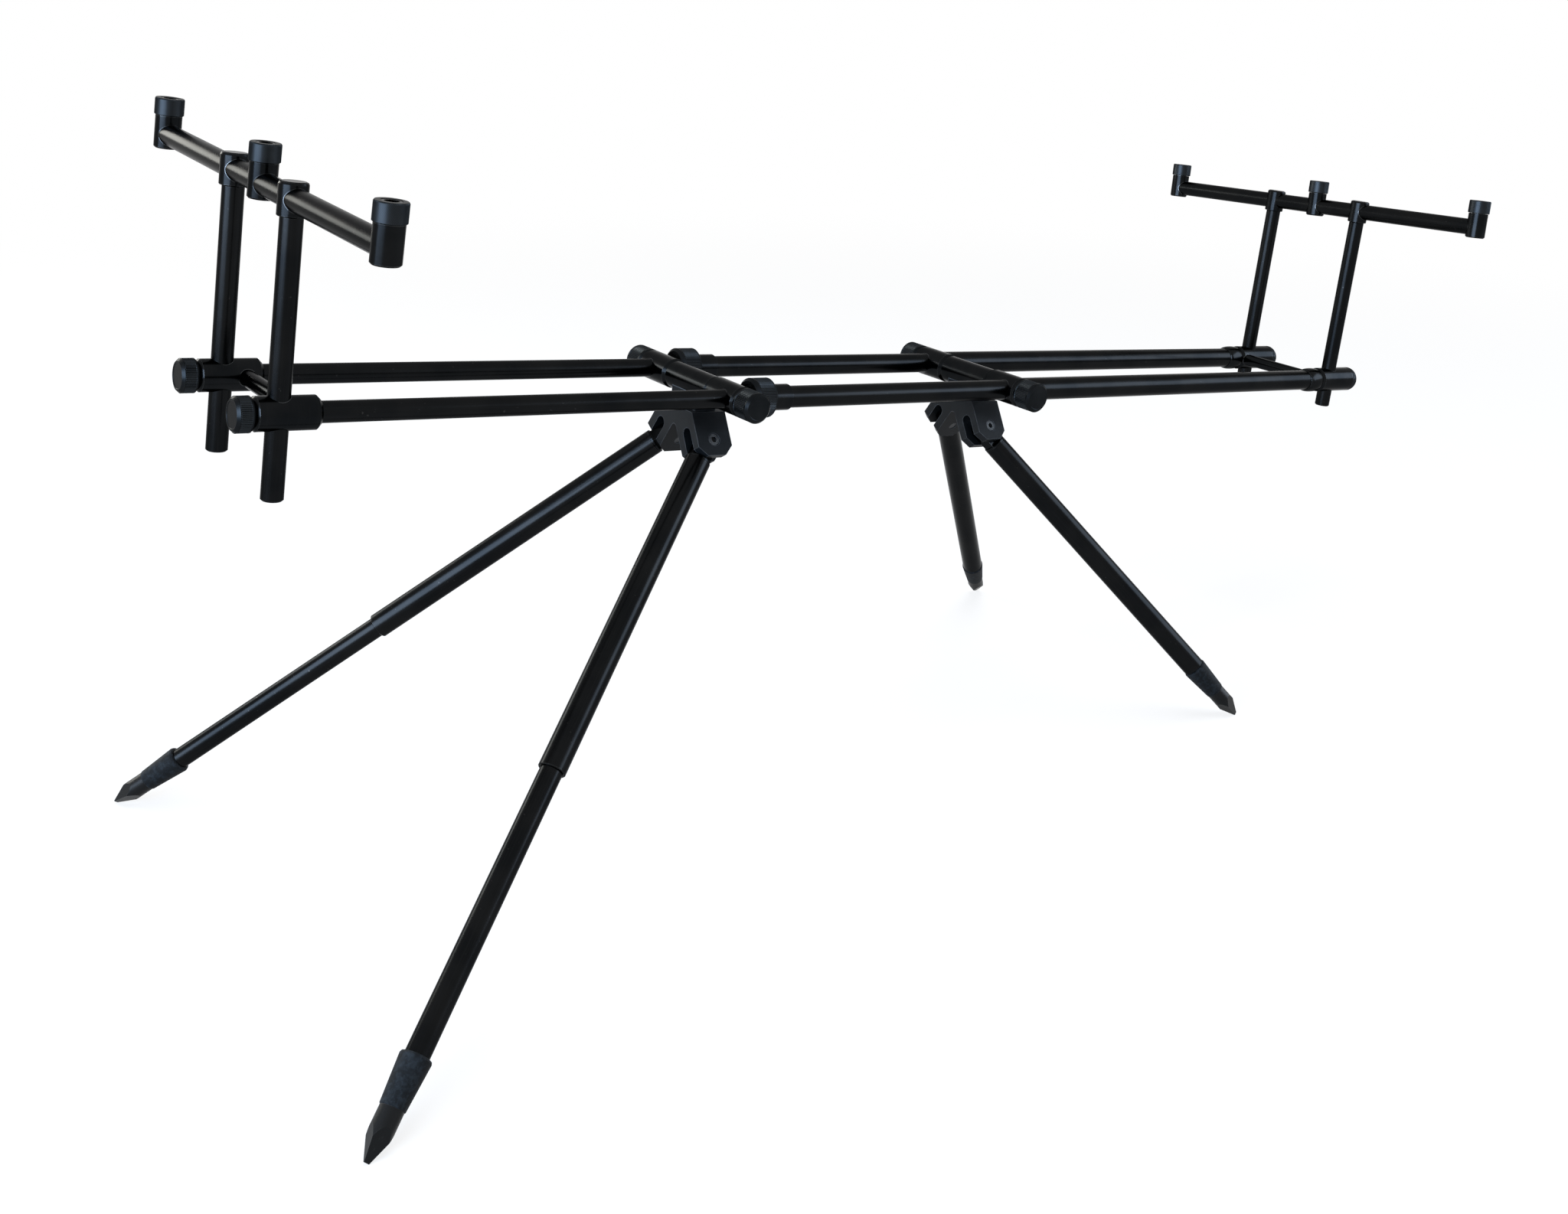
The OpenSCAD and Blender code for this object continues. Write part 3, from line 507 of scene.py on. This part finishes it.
def screw_knob(name, radius, length, stem, band):
    """A knob on its screw: groove at its foot, ribbed band, bevelled edge, shallow dish in its face."""
    band_rows = rows(*band, 1)
    face = radius - KNOB_CHAMFER
    outline = [[SCREW_R, -stem], [SCREW_R, 0], [radius - KNOB_GROOVE, 0], [radius, KNOB_GROOVE]]
    outline += [[radius, band[0] - KNOB_LAND]]
    outline += [[radius - RIB_SINK, z] for z in band_rows]
    outline += [[radius, band[1] + KNOB_LAND], [radius, length - KNOB_CHAMFER], [face, length]]
    outline += [[face - KNOB_RIM, length], [face - KNOB_RIM - KNOB_DISH_SLOPE, length - KNOB_DISH]]
    outline += [[CENTRE_R, length - KNOB_DISH]]
    piece = turn(name, outline, KNOB_SIDES)
    knurl(piece, radius - RIB_SINK, band_rows, KNOB_SIDES, KNOB_CUT, crossed=False)
    return piece


# Knobs on the ends of the cross bars, whose screws reach to the rails
BAR_KNOB_LEN, TEE_REACH = 21.7, 72.0
for end, radius, rail_r in (("left", 13.0, 8.0), ("right", 14.0, 9.5)):
    stem = TEE_REACH - RAIL_Y - rail_r
    knob = screw_knob(f"{end}_bar_knob_front_grip", radius, BAR_KNOB_LEN, stem, band=(4.0, 18.0))
    fit_grips(knob, [(f"{end}_bar_knob_front", -ACROSS), (f"{end}_bar_knob_back", ACROSS)])

# Lock knobs on the left end blocks
knob = screw_knob("left_knob_front_grip", radius=13.0, length=13.3, stem=10.2, band=(3.2, 10.4))
fit_grips(knob, [(f"left_knob_{side}", -RAIL_X) for side in SIDES])

# Lock knobs on the right end blocks: a finely checkered dome
DOME_R, DOME_LEN, DOME_ROUND, DOME_STEM = 13.5, 11.7, 8.0, 24.7
DOME_SIDES, DOME_ROWS, DOME_STEPS, DOME_CUT = 150, 6, 10, 0.25
DOME_EDGE, DOME_SINK = 0.5, 0.03
DOME_BAND = (0.9, DOME_LEN - DOME_ROUND)
dome_rows = rows(*DOME_BAND, DOME_ROWS)
dome_outline = [[SCREW_R, -DOME_STEM], [SCREW_R, 0], [DOME_R - DOME_EDGE, 0], [DOME_R, DOME_EDGE]]
dome_outline += [[DOME_R - DOME_SINK, z] for z in dome_rows]
for step in range(1, DOME_STEPS):
    angle = math.pi / 2 * step / DOME_STEPS
    dome_outline.append([DOME_R - DOME_ROUND + DOME_ROUND * math.cos(angle),
                         DOME_LEN - DOME_ROUND + DOME_ROUND * math.sin(angle)])
dome_outline += [[DOME_R - DOME_ROUND, DOME_LEN], [CENTRE_R, DOME_LEN]]
dome = turn("right_knob_front_grip", dome_outline, DOME_SIDES)
knurl(dome, DOME_R - DOME_SINK, dome_rows[1:], DOME_SIDES, DOME_CUT, crossed=True)
fit_grips(dome, [(f"right_knob_{side}", RAIL_X) for side in SIDES], smooth=25)


# Floor, light and camera

FLOOR_SIZE = 80
WHITE = (1, 1, 1, 1)
DIM_SKY = (0.030, 0.032, 0.037, 1)
# How plain the white is near the pod, what it gains further off, and the metres between which it does
PLAIN_NEAR, PLAIN_GAIN = 0.80, 0.20
GAIN_FROM, GAIN_TO = 1.0, 3.0


def floor_white():
    """White where it is seen, apart from the shadow it keeps, and a dull grey to the light it throws back."""
    made = Finish("floor_white")
    seen = made.seen()
    paper = made.node("ShaderNodeBsdfDiffuse", {}, {"Color": made.mix(seen, grey(0.06), grey(0.85))})
    white = made.node("ShaderNodeEmission", {}, {"Color": WHITE, "Strength": 1.0})
    away = made.node("ShaderNodeVectorMath", {"operation": "LENGTH"}, {0: made.place()}, output="Value")
    plain = PLAIN_NEAR + PLAIN_GAIN * away.band(GAIN_FROM, GAIN_TO)
    return made.show(made.node("ShaderNodeMixShader", {}, {0: seen * plain, 1: paper, 2: white}))


bpy.ops.object.select_all(action="DESELECT")
bpy.ops.mesh.primitive_plane_add(size=FLOOR_SIZE, location=(0, 0, 0))
floor = bpy.context.object
floor.name = "floor"
floor.data.materials.append(floor_white())

# The lamps face the middle of the pod
LAMPS_AIM = Vector((0, 0, 0.4))


def softbox(name, place, width, height, watts, colour, in_gloss=True):
    """A soft lamp that faces the pod and stays out of the camera's sight."""
    lamp = bpy.data.lights.new(name, "AREA")
    lamp.shape = "RECTANGLE"
    lamp.size = width
    lamp.size_y = height
    lamp.energy = watts
    lamp.color = colour
    holder = bpy.data.objects.new(name, lamp)
    holder.location = place
    holder.rotation_mode = "QUATERNION"
    holder.rotation_quaternion = (LAMPS_AIM - Vector(place)).to_track_quat("-Z", "Y")
    holder.visible_camera = False
    holder.visible_glossy = in_gloss
    bpy.context.scene.collection.objects.link(holder)


softbox("window_left", (-3.2, -0.75, 1.3), width=2.8, height=1.6, watts=230, colour=(0.62, 0.78, 1.0))
softbox("window_right", (3.0, -1.8, 1.2), width=2.8, height=1.4, watts=95, colour=(0.72, 0.84, 1.0))
softbox("wall_back", (-1.4, 3.0, 1.2), width=1.5, height=0.8, watts=52, colour=(1.0, 0.98, 0.90))
softbox("overhead", (0.2, 0.0, 3.0), width=2.0, height=2.0, watts=80, colour=(1.0, 1.0, 1.0),
        in_gloss=False)

studio = bpy.data.worlds.new("studio")
bpy.context.scene.world = studio
sky = Shader(studio)
dim = sky.node("ShaderNodeBackground", {}, {"Color": DIM_SKY})
pale = sky.node("ShaderNodeBackground", {}, {"Color": WHITE})
backdrop = sky.node("ShaderNodeMixShader", {}, {0: sky.seen(), 1: dim, 2: pale})
sky.node("ShaderNodeOutputWorld", {}, {"Surface": backdrop})

# The photograph's viewpoint, given in the rail frame
IMAGE_W, IMAGE_H = 2048, 1586
FOCAL_PX, CENTRE_X, CENTRE_Y = 2172.62, 1112.89, 487.11
EYE = (-422.983, -1153.698, 292.949)
RIGHT = (0.771280, -0.622506, 0.132716)
DOWN = (-0.016751, -0.228290, -0.973449)
SENSOR = 36.0
camera = bpy.data.cameras.new("camera")
camera.sensor_width = SENSOR
camera.lens = SENSOR * FOCAL_PX / IMAGE_W
camera.shift_x = (IMAGE_W / 2 - CENTRE_X) / IMAGE_W
camera.shift_y = (CENTRE_Y - IMAGE_H / 2) / IMAGE_W
camera.clip_start = 0.05
camera.clip_end = 200
viewer = bpy.data.objects.new("camera", camera)
right = rail_direction(*RIGHT).normalized()
up = -rail_direction(*DOWN).normalized()
up = (up - right * up.dot(right)).normalized()
turned = Matrix((right, up, right.cross(up))).transposed().to_4x4()
viewer.matrix_world = Matrix.Translation(rail_point(*EYE)) @ turned
bpy.context.scene.collection.objects.link(viewer)
bpy.context.scene.camera = viewer
bpy.context.scene.view_settings.view_transform = "Standard"
